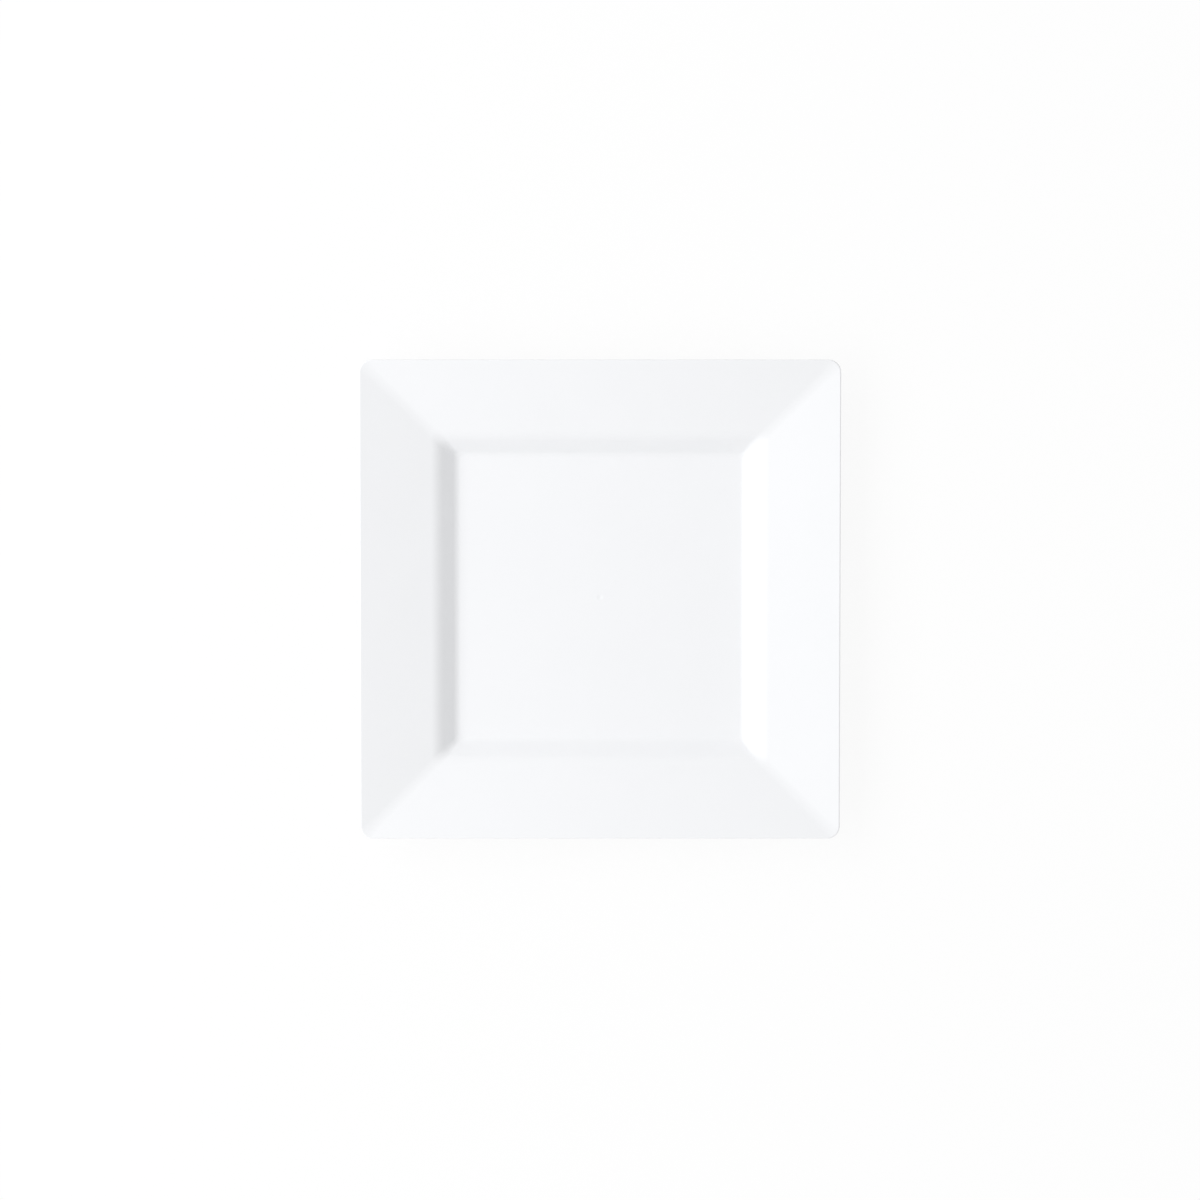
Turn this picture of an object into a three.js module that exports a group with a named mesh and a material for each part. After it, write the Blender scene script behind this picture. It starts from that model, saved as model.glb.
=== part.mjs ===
// Disposable square plate of dessert size, moulded in one shot from white polystyrene.
// Millimetres, +Z up. The origin is the middle of the plate, on the surface that it stands on.
// The plate is one loft. A section through the middle of a side is carried round rounded squares,
// so the flat slopes of the wall and the rim meet in soft mitres at the four corners.
import * as THREE from "three";

// Driving dimensions, in millimetres
const SIDE = 114.3; // across the rim, edge to edge
const HEIGHT = 10; // from the table to the top of the rim
const THICKNESS = 1.5; // of the moulded shell
const WELL_SIDE = 68.6; // across the floor, where its plane meets the planes of the walls
const WALL_RUN = 4.3; // how far a wall leans out between the floor and the crease of the rim
const RIM_SLOPE = THREE.MathUtils.degToRad(12); // the rim falls inwards by this angle
const RIM_CORNER = 3; // plan radius of the outer corners
const WELL_CORNER = 1; // plan radius of the corners of the floor
const WELL_FILLET = 2.5; // upper radius between floor and wall
const CREASE_FILLET = 4.5; // lower radius between wall and rim, to which the thickness is added above

// The foot ring under the floor
const FOOT_HEIGHT = 0.8;
const FOOT_WIDTH = 1.8; // at its root
const FOOT_INSET = 1.2; // from the place where the floor starts to curve
const FOOT_CORNER = 4; // plan radius outside
const FOOT_DRAFT = 0.15; // how far each flank leans in
const FOOT_EDGE = 0.2; // radius of the edges that it stands on

// The mark of the injection gate, in the middle of the underside
const GATE_RECESS_RADIUS = 3;
const GATE_RECESS_DEPTH = 0.35;
const GATE_NUB_RADIUS = 0.7;
const GATE_NUB_HEIGHT = 0.25;
const GATE_TAPER = 0.2; // how far each of its flanks leans

// How finely the round stretches are drawn
const ARC_STEPS = 8;
const EDGE_STEPS = 3;
const NOSE_STEPS = 6;
const CORNER_STEPS = 8;

// Sizes that follow from these
const FLOOR_TOP = FOOT_HEIGHT + THICKNESS;
const NOSE_RADIUS = THICKNESS / 2;
const RIM_END = SIDE / 2 - NOSE_RADIUS * (1 + Math.sin(RIM_SLOPE));
const RIM_END_UP = HEIGHT - NOSE_RADIUS * (1 - Math.cos(RIM_SLOPE));
const CREASE_OUT = WELL_SIDE / 2 + WALL_RUN;
const CREASE_UP = RIM_END_UP - (RIM_END - CREASE_OUT) * Math.tan(RIM_SLOPE);
const WALL_SLOPE = Math.atan2(CREASE_UP - FLOOR_TOP, WALL_RUN);
const CREASE_RADIUS = CREASE_FILLET + THICKNESS;
const FLOOR_END = WELL_SIDE / 2 - WELL_FILLET * Math.tan(WALL_SLOPE / 2);

// Points along an arc of the section, by the slope of the surface there. The arc is a valley, with
// its middle above the surface, where the radius is positive, and a crest where it is negative.
function arc(middle, radius, startSlope, endSlope, steps) {
  return Array.from({ length: steps + 1 }, (_, step) => {
    const slope = THREE.MathUtils.lerp(startSlope, endSlope, step / steps);
    return {
      out: middle.out + radius * Math.sin(slope),
      up: middle.up - radius * Math.cos(slope),
      slope,
    };
  });
}

// The plan radius of the upper face grows steadily from the floor to the end of the rim, where the
// rounded edge takes over with corners that share the middle of the outer ones.
function upperCorner(out) {
  const atRimEnd = RIM_CORNER - (SIDE / 2 - RIM_END);
  return THREE.MathUtils.mapLinear(out, FLOOR_END, RIM_END, WELL_CORNER, atRimEnd);
}

// The upper face, from the flat floor up the wall and over the crease to the end of the rim
function upperFace() {
  const wellMiddle = { out: FLOOR_END, up: FLOOR_TOP + WELL_FILLET };
  const well = arc(wellMiddle, WELL_FILLET, 0, WALL_SLOPE, ARC_STEPS);
  const tangent = CREASE_RADIUS * Math.tan((WALL_SLOPE - RIM_SLOPE) / 2);
  const creaseMiddle = {
    out: CREASE_OUT + tangent * Math.cos(RIM_SLOPE) + CREASE_RADIUS * Math.sin(RIM_SLOPE),
    up: CREASE_UP + tangent * Math.sin(RIM_SLOPE) - CREASE_RADIUS * Math.cos(RIM_SLOPE),
  };
  const crease = arc(creaseMiddle, -CREASE_RADIUS, WALL_SLOPE, RIM_SLOPE, ARC_STEPS);
  const rimEnd = { out: RIM_END, up: RIM_END_UP, slope: RIM_SLOPE };
  return [...well, ...crease, rimEnd].map((point) => ({
    ...point,
    corner: upperCorner(point.out),
  }));
}

// The lower face lies one thickness behind the upper one, and so do its plan corners.
function lowerFace(upper) {
  return upper.toReversed().map(({ out, up, corner, slope }) => ({
    out: out + THICKNESS * Math.sin(slope),
    up: up - THICKNESS * Math.cos(slope),
    corner: corner + THICKNESS * Math.sin(slope),
  }));
}

// The rounded edge of the rim: from its highest point to its outermost one, and on to the lower face
function nose() {
  const middle = { out: SIDE / 2 - NOSE_RADIUS, up: HEIGHT - NOSE_RADIUS };
  const outermost = -Math.PI / 2;
  const above = arc(middle, -NOSE_RADIUS, 0, outermost, NOSE_STEPS);
  const below = arc(middle, -NOSE_RADIUS, outermost, RIM_SLOPE - Math.PI, NOSE_STEPS);
  return [...above, ...below.slice(1, -1)].map((point) => ({
    ...point,
    corner: RIM_CORNER - (SIDE / 2 - point.out),
  }));
}

// The foot ring, from its outer root down to the table and back up to its inner root
function foot() {
  const outerRoot = FLOOR_END - FOOT_INSET;
  const half = FOOT_WIDTH / 2;
  const middleLine = outerRoot - half;
  const edge = new THREE.Path();
  edge.moveTo(half, FOOT_HEIGHT);
  edge.lineTo(half - FOOT_DRAFT, FOOT_EDGE);
  edge.absarc(half - FOOT_DRAFT - FOOT_EDGE, FOOT_EDGE, FOOT_EDGE, 0, -Math.PI / 2, true);
  const outer = edge.getPoints(EDGE_STEPS);
  const inner = outer.toReversed().map((point) => new THREE.Vector2(-point.x, point.y));
  return [...outer, ...inner].map((point) => ({
    out: middleLine + point.x,
    up: point.y,
    corner: FOOT_CORNER - half + point.x,
  }));
}

// The gate mark: a shallow round recess in the floor, and the nub that the gate left in it
function gate() {
  const roof = FOOT_HEIGHT + GATE_RECESS_DEPTH;
  const outline = [
    [GATE_RECESS_RADIUS, FOOT_HEIGHT],
    [GATE_RECESS_RADIUS - GATE_TAPER, roof],
    [GATE_NUB_RADIUS, roof],
    [GATE_NUB_RADIUS - GATE_TAPER, roof - GATE_NUB_HEIGHT],
  ];
  return outline.map(([out, up]) => ({ out, up, corner: out }));
}

// One rounded square of the loft, anticlockwise as seen from above
function ring({ out, up, corner }) {
  const points = [];
  for (let quarter = 0; quarter < 4; quarter++) {
    const start = (quarter * Math.PI) / 2;
    const sideX = Math.sign(Math.cos(start + Math.PI / 4));
    const sideY = Math.sign(Math.sin(start + Math.PI / 4));
    for (let step = 0; step <= CORNER_STEPS; step++) {
      const angle = start + (step / CORNER_STEPS) * (Math.PI / 2);
      points.push(
        new THREE.Vector3(
          sideX * (out - corner) + corner * Math.cos(angle),
          sideY * (out - corner) + corner * Math.sin(angle),
          up,
        ),
      );
    }
  }
  return points;
}

// A closed surface over the rings, with a fan to the middle at each end. A ring that is a full circle
// has no straight sides, so the triangles that would stand on them are left out.
function loft(sections) {
  const rings = sections.map(ring);
  const count = rings[0].length;
  const positions = [];
  const addTriangle = (a, b, c) => {
    const area = new THREE.Triangle(a, b, c).getArea();
    if (area > Number.EPSILON) positions.push(...a, ...b, ...c);
  };
  const middleOf = (section) => new THREE.Vector3(0, 0, section.up);
  const first = rings[0];
  const last = rings.at(-1);
  for (let i = 0; i < count; i++) {
    const next = (i + 1) % count;
    addTriangle(middleOf(sections[0]), first[i], first[next]);
    for (let level = 0; level + 1 < rings.length; level++) {
      const near = rings[level];
      const far = rings[level + 1];
      addTriangle(near[i], far[i], far[next]);
      addTriangle(near[i], far[next], near[next]);
    }
    addTriangle(middleOf(sections.at(-1)), last[next], last[i]);
  }
  const geometry = new THREE.BufferGeometry();
  geometry.setAttribute("position", new THREE.Float32BufferAttribute(positions, 3));
  geometry.computeVertexNormals();
  return geometry;
}

const upper = upperFace();
const sections = [...upper, ...nose(), ...lowerFace(upper), ...foot(), ...gate()];

// Glossy white polystyrene, a little cool in tone
const polystyrene = new THREE.MeshStandardMaterial({ color: 0xf6f7f9, roughness: 0.3, metalness: 0 });

const shell = new THREE.Mesh(loft(sections), polystyrene);
shell.name = "square_plate";

const plate = new THREE.Group();
plate.add(shell);

export default plate;
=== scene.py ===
"""A disposable square plate of white polystyrene, and the plain studio that it is shown in.

The file is laid out as an add-on with a panel in the 3D view's sidebar, and is run as a script.
Everything is in metres. +Z is up, and the origin is the middle of the plate, on the table.
"""

import math
from typing import NamedTuple

import bpy
from bpy.props import FloatProperty, FloatVectorProperty, IntProperty, PointerProperty
from bpy.types import Operator, Panel, PropertyGroup
from mathutils import Euler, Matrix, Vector


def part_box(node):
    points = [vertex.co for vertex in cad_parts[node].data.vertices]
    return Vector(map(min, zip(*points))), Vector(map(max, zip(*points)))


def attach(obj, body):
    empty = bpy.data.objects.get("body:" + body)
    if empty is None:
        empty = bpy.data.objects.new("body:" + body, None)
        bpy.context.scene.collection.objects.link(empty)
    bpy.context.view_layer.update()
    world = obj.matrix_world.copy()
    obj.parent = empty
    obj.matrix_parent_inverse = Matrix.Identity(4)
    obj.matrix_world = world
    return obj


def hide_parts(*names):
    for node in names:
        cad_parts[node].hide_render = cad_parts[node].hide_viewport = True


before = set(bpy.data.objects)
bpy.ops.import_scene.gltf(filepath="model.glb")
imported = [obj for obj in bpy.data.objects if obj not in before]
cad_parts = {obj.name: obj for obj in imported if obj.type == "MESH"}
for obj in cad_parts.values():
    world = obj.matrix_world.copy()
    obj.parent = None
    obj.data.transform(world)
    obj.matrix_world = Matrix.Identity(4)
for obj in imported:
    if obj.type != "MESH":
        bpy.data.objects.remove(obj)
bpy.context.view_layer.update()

bl_info = {
    "name": "Disposable Square Plate",
    "version": (1, 0, 0),
    "blender": (4, 5, 0),
    "location": "3D View > Sidebar > Plate",
    "description": "Moulds a square party plate and sets up a plain studio round it",
    "category": "Add Mesh",
}

MM = 0.001
PLATE_NODE = "square_plate"
PLATE_LOW, PLATE_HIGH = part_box(PLATE_NODE)


def length(name, description, millimetres):
    """A property for a length, with its default given in millimetres."""
    return FloatProperty(
        name=name,
        description=description,
        default=millimetres * MM,
        min=0.0,
        precision=5,
        unit="LENGTH",
        subtype="DISTANCE",
    )


def angle(name, description, degrees):
    """A property for an angle, with its default given in degrees."""
    return FloatProperty(
        name=name,
        description=description,
        default=math.radians(degrees),
        unit="ROTATION",
        subtype="ANGLE",
    )


def share(name, description, value):
    """A property for a share, from 0 to 1."""
    return FloatProperty(
        name=name,
        description=description,
        default=value,
        min=0.0,
        max=1.0,
        subtype="FACTOR",
    )


def level(name, description, value):
    """A property for a brightness, where 1 shows as white."""
    return FloatProperty(name=name, description=description, default=value, min=0.0)


def count(name, description, value):
    """A property for a number of steps."""
    return IntProperty(name=name, description=description, default=value, min=2)


def linear(hex_colour):
    """Turns an sRGB hex colour such as #F6F7F9 into linear red, green and blue."""
    channels = (int(hex_colour[start : start + 2], 16) / 255 for start in (1, 3, 5))
    return tuple(c / 12.92 if c <= 0.04045 else ((c + 0.055) / 1.055) ** 2.4 for c in channels)


def colour(name, description, hex_colour):
    """A property for a colour, with its default given as sRGB hex."""
    return FloatVectorProperty(
        name=name,
        description=description,
        default=linear(hex_colour),
        min=0.0,
        max=1.0,
        subtype="COLOR",
    )


class PlateSizes(PropertyGroup):
    """Sizes of the moulded plate."""

    side: length("Side", "Across the rim, edge to edge", (PLATE_HIGH.x - PLATE_LOW.x) / MM)
    height: length("Height", "From the table to the top of the rim", PLATE_HIGH.z / MM)
    thickness: length("Thickness", "Thickness of the shell", 1.5)
    well_side: length("Well Side", "Across the floor, where it meets the planes of the walls", 68.6)
    wall_run: length("Wall Run", "How far a wall leans out between the floor and the rim", 4.3)
    rim_slope: angle("Rim Slope", "Angle by which the rim falls inwards", 12)
    rim_corner: length("Rim Corner", "Plan radius of the outer corners", 3)
    mitre_corner: length("Mitre Corner", "Plan radius of the mitres where the rim's sides meet", 1.8)
    well_corner: length("Well Corner", "Plan radius of the corners of the floor", 1)
    well_fillet: length("Well Fillet", "Upper radius between floor and wall", 2.5)
    crease_fillet: length("Crease Fillet", "Lower radius between wall and rim", 4.5)
    edge_fillet: length("Edge Fillet", "Radius above and below the upright edge of the rim", 0.25)
    seam_height: length("Seam Height", "How far the mould's parting seam stands out of the edge", 0.04)
    seam_width: length("Seam Width", "Width of the mould's parting seam", 0.16)
    foot_height: length("Foot Height", "Height of the foot ring under the floor", 0.8)
    foot_width: length("Foot Width", "Width of the foot ring at its root", 1.8)
    foot_inset: length("Foot Inset", "From where the floor starts to curve to the foot ring", 1.2)
    foot_corner: length("Foot Corner", "Plan radius of the foot ring, outside", 4)
    foot_draft: length("Foot Draft", "How far each flank of the foot ring leans in", 0.15)
    foot_edge: length("Foot Edge", "Radius of the foot ring's edges and roots", 0.2)
    pip_radius: length("Pip Radius", "Radius of the dimple above the gate", 0.8)
    pip_depth: length("Pip Depth", "Depth of the dimple above the gate", 0.085)
    pip_bottom: length("Pip Bottom", "Radius of the dimple's bottom", 0.2)
    pip_fillet: length("Pip Fillet", "Radius that softens the dimple's bottom and brim", 1.92)
    gate_radius: length("Gate Radius", "Radius of the recess round the gate, underneath", 3)
    gate_depth: length("Gate Depth", "Depth of the recess round the gate", 0.35)
    gate_taper: length("Gate Taper", "How far each flank of the gate's recess and nub leans", 0.2)
    gate_edge: length("Gate Edge", "Radius of the edges of the gate's recess and nub", 0.05)
    nub_radius: length("Nub Radius", "Radius of the nub that the gate left", 0.7)
    nub_height: length("Nub Height", "Height of the nub that the gate left", 0.25)
    fillet_steps: count("Fillet Steps", "Points on each fillet", 12)
    corner_steps: count("Corner Steps", "Steps round each plan corner", 16)
    weld_distance: length("Weld Distance", "Points of the mesh that are closer become one", 0.001)


class PlasticFinish(PropertyGroup):
    """Colours, gloss and marks of the plastic."""

    white: colour("White", "Colour of the plastic", "#F6F7F9")
    flow_white: colour("Flow White", "Colour along the marks of the flowing melt", "#F4F5F7")
    flow_size: length("Flow Size", "Width of the marks of the flowing melt", 16)
    gloss_roughness: share("Gloss", "Roughness where the mould was polished best", 0.29)
    dull_roughness: share("Dull", "Roughness where stacking has dulled the gloss", 0.39)
    rub_size: length("Rub Size", "Width of the patches that stacking has dulled", 7)
    sink_size: length("Sink Size", "Width of the sink marks", 12)
    sink_depth: length("Sink Depth", "Depth of the sink marks", 0.02)
    grain_size: length("Grain Size", "Width of the grain of the mould", 1.6)
    grain_depth: length("Grain Depth", "Depth of the grain of the mould", 0.002)


class StudioSetup(PropertyGroup):
    """Camera, lamps and floor."""

    frame_width: length("Frame Width", "Width of the picture at the rim of the plate", 285.15)
    lens: FloatProperty(
        name="Lens", description="Focal length of the camera", default=200, unit="CAMERA"
    )
    camera_tilt: angle("Camera Tilt", "How far behind straight above the camera stands", 5)
    horizon_level: level("Horizon Level", "Brightness of the light tent's sides", 0.86)
    zenith_level: level("Zenith Level", "Brightness of the light tent's top", 0.475)
    key_power: FloatProperty(
        name="Key Power", description="Power of the soft box", default=6.75, min=0, unit="POWER"
    )
    key_distance: length("Key Distance", "From the plate to the soft box", 850)
    key_width: length("Key Width", "Width of the soft box", 1700)
    key_height: length("Key Height", "Height of the soft box", 570)
    key_elevation: angle("Key Elevation", "Height of the soft box above the table", 45)
    key_heading: angle("Key Heading", "Where the soft box stands, from the right anticlockwise", 176)
    floor_size: length("Floor Size", "Side of the paper under the plate", 6000)
    floor_gap: length("Floor Gap", "From the foot ring down to the paper", 0.05)
    floor_white: colour("Floor White", "Colour of the paper", "#FAFAFA")
    shadow_share: share("Shadow Share", "How much of the shadow on the paper the picture keeps", 0.1)


def bare_tree(owner):
    """The node tree of a material or a world, with nothing in it."""
    owner.use_nodes = True
    owner.node_tree.nodes.clear()
    return owner.node_tree


def add_node(tree, kind, inputs=None, **settings):
    """Adds a node, sets its own settings, and fills its inputs by name or number.

    An input that is given another node, or one of its outputs, is linked to it. Any other value is set.
    """
    node = tree.nodes.new(kind)
    node.location.x = 200 * len(tree.nodes)
    for name, value in settings.items():
        setattr(node, name, value)
    for key, value in (inputs or {}).items():
        if isinstance(value, bpy.types.Node):
            value = value.outputs[0]
        if isinstance(value, bpy.types.NodeSocket):
            tree.links.new(value, node.inputs[key])
        else:
            node.inputs[key].default_value = value
    return node


class SectionCorner(NamedTuple):
    """A corner of the plate's section before it is rounded.

    The loft's plan radius there is fixed + share * out, so a share of 1 keeps the corners of the rings
    on one middle, and a share of 0 keeps their radius.
    """

    out: float
    up: float
    fillet: float
    fixed: float
    share: float = 0.0


def plate_section(sizes):
    """Corners of half of the section, from the middle of the well round the rim to the gate below."""
    half_side = sizes.side / 2
    thickness = sizes.thickness
    floor_under = sizes.foot_height
    floor_top = floor_under + thickness

    # The rim ends in an upright edge, rounded above and below, with the parting seam in the middle of
    # what stays flat. The upper round's highest point and the seam's tip give the plate its size.
    along_rim = Vector((math.cos(sizes.rim_slope), math.sin(sizes.rim_slope)))
    off_rim = Vector((-along_rim.y, along_rim.x))
    edge_out = half_side - sizes.seam_height
    edge_top = sizes.height + sizes.edge_fillet * ((1 + along_rim.y) / along_rim.x - 1)
    edge_under = edge_top - thickness / along_rim.x
    flat_top = edge_top - sizes.edge_fillet * math.tan(math.pi / 4 + sizes.rim_slope / 2)
    flat_under = edge_under + sizes.edge_fillet * math.tan(math.pi / 4 - sizes.rim_slope / 2)
    seam_up = (flat_top + flat_under) / 2
    seam_half = sizes.seam_width / 2

    def rim_point(out):
        """The point of the rim's upper line that lies this far out."""
        return Vector((out, edge_top - (edge_out - out) * math.tan(sizes.rim_slope)))

    # The upper lines of the floor, the wall and the rim meet in two corners, and the lower lines lie
    # one thickness behind them. The mitres keep their plan radius up to where the outer corners begin.
    well_corner = Vector((sizes.well_side / 2, floor_top))
    crease = rim_point(well_corner.x + sizes.wall_run)
    mitre_end = rim_point(half_side - sizes.rim_corner)
    wall_slope = math.atan2(crease.y - floor_top, sizes.wall_run)
    well_shift = thickness * math.tan(wall_slope / 2)
    well_under = well_corner + Vector((well_shift, -thickness))
    crease_shift = thickness * math.tan((wall_slope - sizes.rim_slope) / 2)
    crease_under = crease + crease_shift * along_rim - thickness * off_rim

    # The lower plan corners are wider at the wall by as far as its lower face lies further out, and
    # half as much wider at the crease, on the way to the edge that both faces share.
    wall_growth = thickness * math.sin(wall_slope)
    crease_growth = wall_growth / 2

    pip_up = floor_top - sizes.pip_depth
    foot_root = well_corner.x - sizes.well_fillet * math.tan(wall_slope / 2) - sizes.foot_inset
    foot_inside = foot_root - sizes.foot_width
    gate_roof = floor_under + sizes.gate_depth
    nub_tip = gate_roof - sizes.nub_height

    def on_circle(out, up, fillet):
        return SectionCorner(out, up, fillet, 0.0, 1.0)

    def on_shell(point, fillet, plan):
        return SectionCorner(point.x, point.y, fillet, plan)

    def on_edge(out, up, fillet):
        return SectionCorner(out, up, fillet, sizes.rim_corner - half_side, 1.0)

    def on_foot(out, up):
        return SectionCorner(out, up, sizes.foot_edge, sizes.foot_corner - foot_root, 1.0)

    return [
        on_circle(0.0, pip_up, 0.0),
        on_circle(sizes.pip_bottom, pip_up, sizes.pip_fillet),
        on_circle(sizes.pip_radius, floor_top, sizes.pip_fillet),
        on_shell(well_corner, sizes.well_fillet, sizes.well_corner),
        on_shell(crease, sizes.crease_fillet + thickness, sizes.mitre_corner),
        on_shell(mitre_end, 0.0, sizes.mitre_corner),
        on_edge(edge_out, edge_top, sizes.edge_fillet),
        on_edge(edge_out, seam_up + seam_half, 0.0),
        on_edge(half_side, seam_up, 0.0),
        on_edge(edge_out, seam_up - seam_half, 0.0),
        on_edge(edge_out, edge_under, sizes.edge_fillet),
        on_shell(crease_under, sizes.crease_fillet, sizes.mitre_corner + crease_growth),
        on_shell(well_under, sizes.well_fillet + thickness, sizes.well_corner + wall_growth),
        on_foot(foot_root, floor_under),
        on_foot(foot_root - sizes.foot_draft, 0.0),
        on_foot(foot_inside + sizes.foot_draft, 0.0),
        on_foot(foot_inside, floor_under),
        on_circle(sizes.gate_radius, floor_under, sizes.gate_edge),
        on_circle(sizes.gate_radius - sizes.gate_taper, gate_roof, sizes.gate_edge),
        on_circle(sizes.nub_radius, gate_roof, sizes.gate_edge),
        on_circle(sizes.nub_radius - sizes.gate_taper, nub_tip, sizes.gate_edge),
        on_circle(0.0, nub_tip, 0.0),
    ]


def section_line(corners):
    """A line of edges through the corners, which carries their radii as attributes."""
    mesh = bpy.data.meshes.new("plate_section")
    points = [(corner.out, 0.0, corner.up) for corner in corners]
    mesh.from_pydata(points, [(end - 1, end) for end in range(1, len(points))], [])
    for name in ("fillet", "fixed", "share"):
        attribute = mesh.attributes.new("loft_" + name, "FLOAT", "POINT")
        attribute.data.foreach_set("value", [getattr(corner, name) for corner in corners])
    return mesh


def rounded_square_loft():
    """A node tree that rounds a section's corners and carries it round rounded squares.

    Each point of the section, out from the middle and up from the table, makes one ring. The flat
    slopes of neighbouring sides meet over the rings' corners in soft mitres.
    """
    tree = bpy.data.node_groups.new("Rounded Square Loft", "GeometryNodeTree")
    for name, kind in (
        ("Section", "NodeSocketGeometry"),
        ("Fillet Steps", "NodeSocketInt"),
        ("Corner Steps", "NodeSocketInt"),
        ("Weld Distance", "NodeSocketFloat"),
        ("Plastic", "NodeSocketMaterial"),
    ):
        tree.interface.new_socket(name, in_out="INPUT", socket_type=kind)
    tree.interface.new_socket("Shell", in_out="OUTPUT", socket_type="NodeSocketGeometry")
    given = add_node(tree, "NodeGroupInput").outputs
    carried = {}
    for name, kind in (
        ("fillet", "FLOAT"),
        ("fixed", "FLOAT"),
        ("share", "FLOAT"),
        ("place", "FLOAT_VECTOR"),
        ("step", "FLOAT"),
    ):
        carried[name] = add_node(
            tree, "GeometryNodeInputNamedAttribute", {"Name": "loft_" + name}, data_type=kind
        )

    # The rounded section, each point of which remembers its place
    line = add_node(tree, "GeometryNodeMeshToCurve", {"Mesh": given["Section"]})
    rounded = add_node(
        tree,
        "GeometryNodeFilletCurve",
        {"Curve": line, "Count": given["Fillet Steps"], "Radius": carried["fillet"]},
        mode="POLY",
    )
    position = add_node(tree, "GeometryNodeInputPosition")
    section = add_node(
        tree,
        "GeometryNodeStoreNamedAttribute",
        {"Geometry": rounded, "Name": "loft_place", "Value": position},
        data_type="FLOAT_VECTOR",
    )

    # A loop with one point for each step round the four corners, and its number on each point
    corner_points = add_node(
        tree, "ShaderNodeMath", {0: given["Corner Steps"], 1: 1.0}, operation="ADD"
    )
    loop_points = add_node(tree, "ShaderNodeMath", {0: corner_points, 1: 4.0}, operation="MULTIPLY")
    circle = add_node(tree, "GeometryNodeCurvePrimitiveCircle", {"Resolution": loop_points})
    index = add_node(tree, "GeometryNodeInputIndex")
    loop = add_node(
        tree,
        "GeometryNodeStoreNamedAttribute",
        {"Geometry": circle, "Name": "loft_step", "Value": index},
        data_type="FLOAT",
    )
    skin = add_node(tree, "GeometryNodeCurveToMesh", {"Curve": loop, "Profile Curve": section})

    # The corner's plan radius, and how far out along both sides the corner's middle lies
    place = add_node(tree, "ShaderNodeSeparateXYZ", {"Vector": carried["place"]}).outputs
    plan = add_node(
        tree,
        "ShaderNodeMath",
        {0: carried["share"], 1: place["X"], 2: carried["fixed"]},
        operation="MULTIPLY_ADD",
    )
    middle = add_node(tree, "ShaderNodeMath", {0: place["X"], 1: plan}, operation="SUBTRACT")

    # Each quarter of the loop is one corner, drawn on the first quarter and then turned to its own.
    quarters = add_node(
        tree, "ShaderNodeMath", {0: carried["step"], 1: corner_points}, operation="DIVIDE"
    )
    quarter = add_node(tree, "ShaderNodeMath", {0: quarters}, operation="FLOOR")
    quarter_turn = add_node(tree, "ShaderNodeMath", {0: quarter, 1: math.pi / 2}, operation="MULTIPLY")
    corner_step = add_node(
        tree, "ShaderNodeMath", {0: carried["step"], 1: corner_points}, operation="MODULO"
    )
    sweep = add_node(
        tree, "ShaderNodeMath", {0: corner_step, 1: given["Corner Steps"]}, operation="DIVIDE"
    )
    sweep_turn = add_node(tree, "ShaderNodeMath", {0: sweep, 1: math.pi / 2}, operation="MULTIPLY")
    cosine = add_node(tree, "ShaderNodeMath", {0: sweep_turn}, operation="COSINE")
    sine = add_node(tree, "ShaderNodeMath", {0: sweep_turn}, operation="SINE")
    across = add_node(tree, "ShaderNodeMath", {0: cosine, 1: plan, 2: middle}, operation="MULTIPLY_ADD")
    along = add_node(tree, "ShaderNodeMath", {0: sine, 1: plan, 2: middle}, operation="MULTIPLY_ADD")
    corner = add_node(tree, "ShaderNodeCombineXYZ", {"X": across, "Y": along, "Z": place["Z"]})
    turned = add_node(
        tree,
        "ShaderNodeVectorRotate",
        {"Vector": corner, "Angle": quarter_turn},
        rotation_type="Z_AXIS",
    )
    placed = add_node(tree, "GeometryNodeSetPosition", {"Geometry": skin, "Position": turned})

    # Welding closes the two poles on the plate's middle line.
    welded = add_node(
        tree, "GeometryNodeMergeByDistance", {"Geometry": placed, "Distance": given["Weld Distance"]}
    )
    smooth = add_node(tree, "GeometryNodeSetShadeSmooth", {"Geometry": welded})
    bare = add_node(
        tree,
        "GeometryNodeRemoveAttribute",
        {"Geometry": smooth, "Name": "loft_*"},
        pattern_mode="WILDCARD",
    )
    realized = add_node(tree, "GeometryNodeRealizeInstances", {"Geometry": bare})
    finished = add_node(
        tree, "GeometryNodeSetMaterial", {"Geometry": realized, "Material": given["Plastic"]}
    )
    add_node(tree, "NodeGroupOutput", {"Shell": finished})
    return tree


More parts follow.
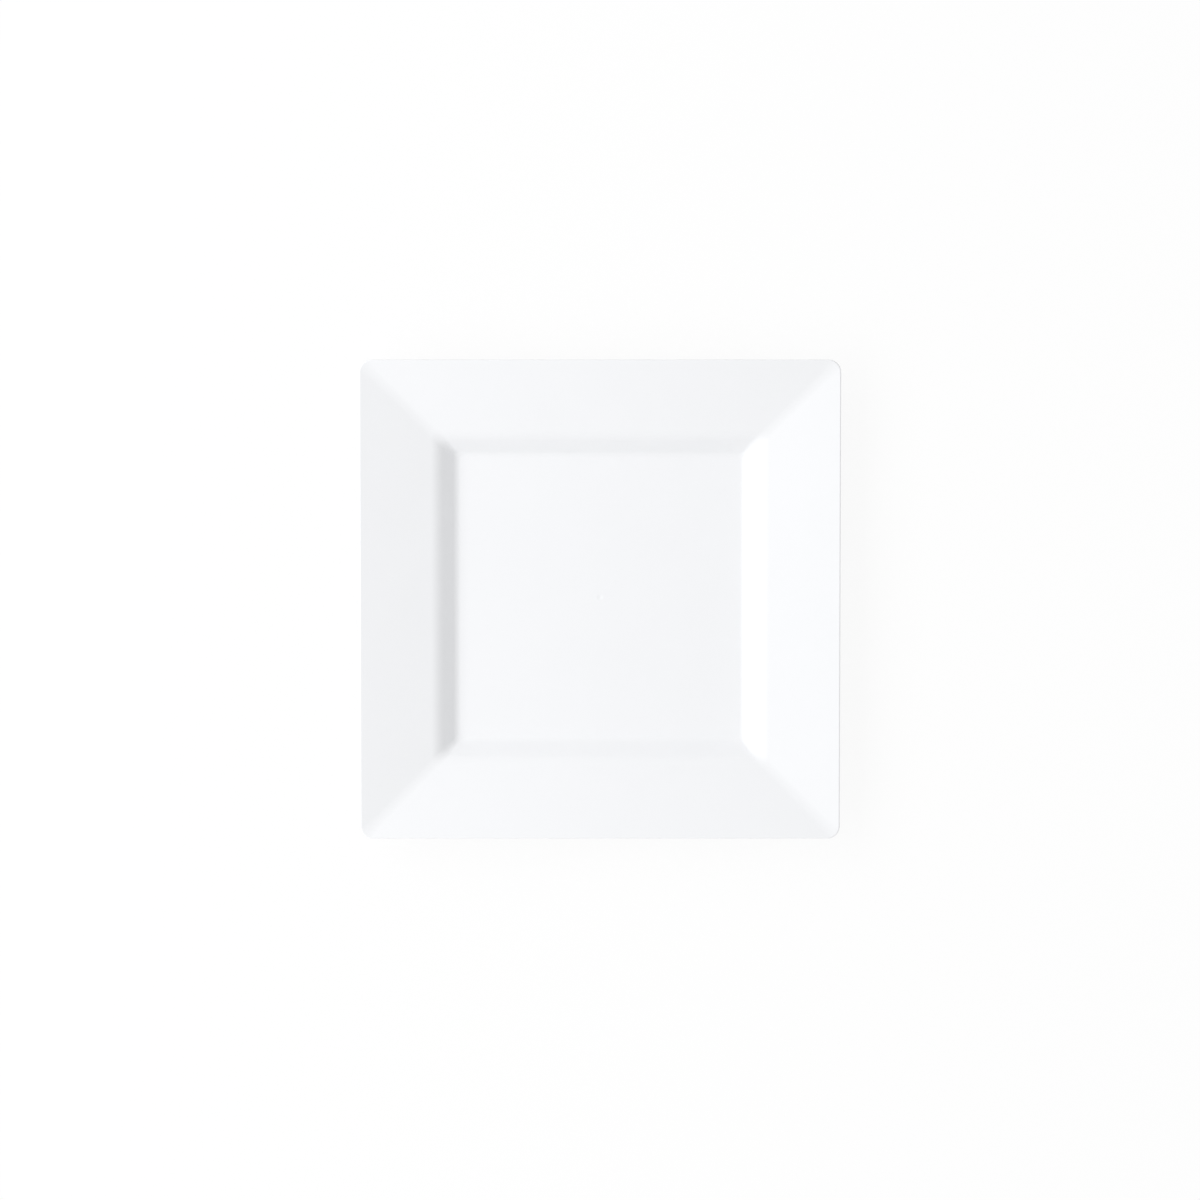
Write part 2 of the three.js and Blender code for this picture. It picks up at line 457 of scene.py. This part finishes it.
def white_polystyrene(finish):
    """White polystyrene, moulded in a polished steel mould.

    The eye sees an even, slightly cool white with a soft gloss. The melt that spread from the gate left
    slow marks in its tone, the cooling plastic sank into a shallow waviness that bends reflections,
    and rubbing against other plates of a stack has dulled the gloss in places.
    """
    material = bpy.data.materials.new("moulded_white_polystyrene")
    tree = bare_tree(material)
    place = add_node(tree, "ShaderNodeTexCoord").outputs["Object"]

    # Marks of the flowing melt, a trace darker than the rest
    flow = add_node(
        tree,
        "ShaderNodeTexNoise",
        {"Vector": place, "Scale": 1 / finish.flow_size, "Detail": 3.0, "Distortion": 0.6},
    )
    tone = add_node(
        tree,
        "ShaderNodeMix",
        {"Factor": flow, "A": (*finish.white, 1.0), "B": (*finish.flow_white, 1.0)},
        data_type="RGBA",
    )

    # Rubbed patches. Noise stays mostly between 0.3 and 0.7, which is spread over the two roughnesses.
    rubbed = add_node(
        tree,
        "ShaderNodeTexNoise",
        {"Vector": place, "Scale": 1 / finish.rub_size, "Detail": 5.0, "Roughness": 0.6},
    )
    roughness = add_node(
        tree,
        "ShaderNodeMapRange",
        {
            "Value": rubbed,
            "From Min": 0.3,
            "From Max": 0.7,
            "To Min": finish.gloss_roughness,
            "To Max": finish.dull_roughness,
        },
    )

    # Sink marks, and over them the grain of the mould, drawn coarser than it is so that it shows
    sinks = add_node(
        tree, "ShaderNodeTexNoise", {"Vector": place, "Scale": 1 / finish.sink_size, "Detail": 1.0}
    )
    waviness = add_node(tree, "ShaderNodeBump", {"Height": sinks, "Distance": finish.sink_depth})
    grain = add_node(
        tree, "ShaderNodeTexNoise", {"Vector": place, "Scale": 1 / finish.grain_size, "Detail": 1.0}
    )
    surface = add_node(
        tree,
        "ShaderNodeBump",
        {"Height": grain, "Distance": finish.grain_depth, "Normal": waviness},
    )

    # The IOR is that of clear polystyrene.
    plastic = add_node(
        tree,
        "ShaderNodeBsdfPrincipled",
        {
            "Base Color": tone.outputs["Result"],
            "Roughness": roughness,
            "Normal": surface,
            "IOR": 1.59,
        },
    )
    add_node(tree, "ShaderNodeOutputMaterial", {"Surface": plastic})
    return material


class PLATE_OT_mould_shell(Operator):
    """Mould the plate's shell"""

    bl_idname = "plate.mould_shell"
    bl_label = "Mould Shell"

    def execute(self, context):
        sizes = context.scene.plate_sizes
        section = section_line(plate_section(sizes))
        plate = bpy.data.objects.new("plate_shell", section)
        context.collection.objects.link(plate)

        loft = plate.modifiers.new("Loft", "NODES")
        loft.node_group = rounded_square_loft()
        values = {
            "Fillet Steps": sizes.fillet_steps,
            "Corner Steps": sizes.corner_steps,
            "Weld Distance": sizes.weld_distance,
            "Plastic": white_polystyrene(context.scene.plate_finish),
        }
        for item in loft.node_group.interface.items_tree:
            if item.in_out == "INPUT" and item.name in values:
                loft[item.identifier] = values[item.name]

        # Normals that lean to the larger faces keep the flats flat beside their fillets.
        normals = plate.modifiers.new("Normals", "WEIGHTED_NORMAL")
        normals.mode = "FACE_AREA"

        evaluated = plate.evaluated_get(context.evaluated_depsgraph_get())
        plate.data = bpy.data.meshes.new_from_object(evaluated)
        plate.data.name = "plate_shell"
        plate.modifiers.clear()
        bpy.data.meshes.remove(section)
        if not plate.data.polygons:
            raise RuntimeError("the loft made no faces")

        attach(plate, "root")
        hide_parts(PLATE_NODE)
        return {"FINISHED"}


def seen_directly(tree):
    """A value of 1 for rays from the camera, a mirror or a lens, and of 0 for rays that carry light."""
    rays = add_node(tree, "ShaderNodeLightPath").outputs
    mirrored = add_node(
        tree,
        "ShaderNodeMath",
        {0: rays["Is Glossy Ray"], 1: rays["Is Transmission Ray"]},
        operation="MAXIMUM",
    )
    return add_node(
        tree, "ShaderNodeMath", {0: rays["Is Camera Ray"], 1: mirrored}, operation="MAXIMUM"
    )


def matt_white_paper(studio):
    """Matt white paper. The picture shows it white, with a share of the plate's soft shadow.

    From below it is clear, so that the plate's underside can be looked at.
    """
    material = bpy.data.materials.new("matt_white_paper")
    # The glow is only for the eye, so no light is looked for in it.
    material.cycles.emission_sampling = "NONE"
    tree = bare_tree(material)
    paper = add_node(tree, "ShaderNodeBsdfDiffuse", {"Color": (*studio.floor_white, 1.0)})
    glow = add_node(tree, "ShaderNodeEmission", {"Strength": 1.0})
    glow_share = add_node(
        tree,
        "ShaderNodeMath",
        {0: seen_directly(tree), 1: 1.0 - studio.shadow_share},
        operation="MULTIPLY",
    )
    shown = add_node(tree, "ShaderNodeMixShader", {0: glow_share, 1: paper, 2: glow})
    below = add_node(tree, "ShaderNodeNewGeometry").outputs["Backfacing"]
    clear = add_node(tree, "ShaderNodeBsdfTransparent")
    one_sided = add_node(tree, "ShaderNodeMixShader", {0: below, 1: shown, 2: clear})
    add_node(tree, "ShaderNodeOutputMaterial", {"Surface": one_sided})
    return material


def paper_floor(studio):
    """The paper that the plate stands on, a hair lower, so that the two don't share one place."""
    half = studio.floor_size / 2
    low = -studio.floor_gap
    corners = [(-half, -half, low), (half, -half, low), (half, half, low), (-half, half, low)]
    mesh = bpy.data.meshes.new("paper_floor")
    mesh.from_pydata(corners, [], [(0, 1, 2, 3)])
    mesh.materials.append(matt_white_paper(studio))
    return bpy.data.objects.new("paper_floor", mesh)


def light_tent(studio):
    """A white tent round the plate, seen as plain white, with sides that give more light than its top."""
    world = bpy.data.worlds.new("light_tent")
    tree = bare_tree(world)
    direction = add_node(tree, "ShaderNodeTexCoord").outputs["Generated"]
    height = add_node(tree, "ShaderNodeSeparateXYZ", {"Vector": direction}).outputs["Z"]
    tent = add_node(
        tree,
        "ShaderNodeMapRange",
        {"Value": height, "To Min": studio.horizon_level, "To Max": studio.zenith_level},
    )
    strength = add_node(
        tree,
        "ShaderNodeMapRange",
        {"Value": seen_directly(tree), "To Min": tent, "To Max": 1.0},
    )
    white = (*linear("#FFFFFF"), 1.0)
    sky = add_node(tree, "ShaderNodeBackground", {"Color": white, "Strength": strength})
    add_node(tree, "ShaderNodeOutputWorld", {"Surface": sky})
    return world


def stand_off(thing, turn, distance):
    """Turns a lamp or a camera and moves it straight back from the middle of the rim."""
    rim = Vector((0.0, 0.0, PLATE_HIGH.z))
    thing.rotation_euler = turn
    thing.location = rim + turn.to_matrix() @ Vector((0.0, 0.0, distance))


def soft_box(studio):
    """A wide soft box that lights the plate from one side."""
    lamp = bpy.data.lights.new("soft_box", "AREA")
    lamp.shape = "RECTANGLE"
    lamp.size = studio.key_height
    lamp.size_y = studio.key_width
    lamp.energy = studio.key_power
    box = bpy.data.objects.new("soft_box", lamp)
    # The gloss shows the white tent and not the soft box, whose glare would hide the plate's shape.
    box.visible_glossy = False
    turn = Euler((0.0, math.pi / 2 - studio.key_elevation, studio.key_heading))
    stand_off(box, turn, studio.key_distance)
    return box


def overhead_camera(studio):
    """A camera with a long lens, almost straight above the plate."""
    data = bpy.data.cameras.new("camera")
    data.lens = studio.lens
    camera = bpy.data.objects.new("camera", data)
    distance = studio.frame_width * studio.lens / data.sensor_width
    stand_off(camera, Euler((-studio.camera_tilt, 0.0, 0.0)), distance)
    return camera


class PLATE_OT_set_studio(Operator):
    """Set up the floor, the light and the camera"""

    bl_idname = "plate.set_studio"
    bl_label = "Set Studio"

    def execute(self, context):
        scene = context.scene
        studio = scene.plate_studio
        scene.view_settings.view_transform = "Standard"
        scene.world = light_tent(studio)
        floor = paper_floor(studio)
        camera = overhead_camera(studio)
        for thing in (floor, soft_box(studio), camera):
            context.collection.objects.link(thing)
        scene.camera = camera
        return {"FINISHED"}


class PLATE_PT_sidebar(Panel):
    """Sizes, finish and steps of the plate"""

    bl_label = "Square Plate"
    bl_idname = "PLATE_PT_sidebar"
    bl_space_type = "VIEW_3D"
    bl_region_type = "UI"
    bl_category = "Plate"

    def draw(self, context):
        scene = context.scene
        steps = (
            (PLATE_OT_mould_shell.bl_idname, (scene.plate_sizes, scene.plate_finish)),
            (PLATE_OT_set_studio.bl_idname, (scene.plate_studio,)),
        )
        for operator, groups in steps:
            box = self.layout.box()
            box.operator(operator)
            for group in groups:
                for name in group.__annotations__:
                    box.prop(group, name)


CLASSES = (
    PlateSizes,
    PlasticFinish,
    StudioSetup,
    PLATE_OT_mould_shell,
    PLATE_OT_set_studio,
    PLATE_PT_sidebar,
)


def register():
    for cls in CLASSES:
        bpy.utils.register_class(cls)
    bpy.types.Scene.plate_sizes = PointerProperty(type=PlateSizes)
    bpy.types.Scene.plate_finish = PointerProperty(type=PlasticFinish)
    bpy.types.Scene.plate_studio = PointerProperty(type=StudioSetup)


def unregister():
    del bpy.types.Scene.plate_studio
    del bpy.types.Scene.plate_finish
    del bpy.types.Scene.plate_sizes
    for cls in reversed(CLASSES):
        bpy.utils.unregister_class(cls)


def main():
    """Makes the plate and its studio."""
    register()
    bpy.ops.plate.mould_shell()
    bpy.ops.plate.set_studio()


if __name__ == "__main__":
    main()
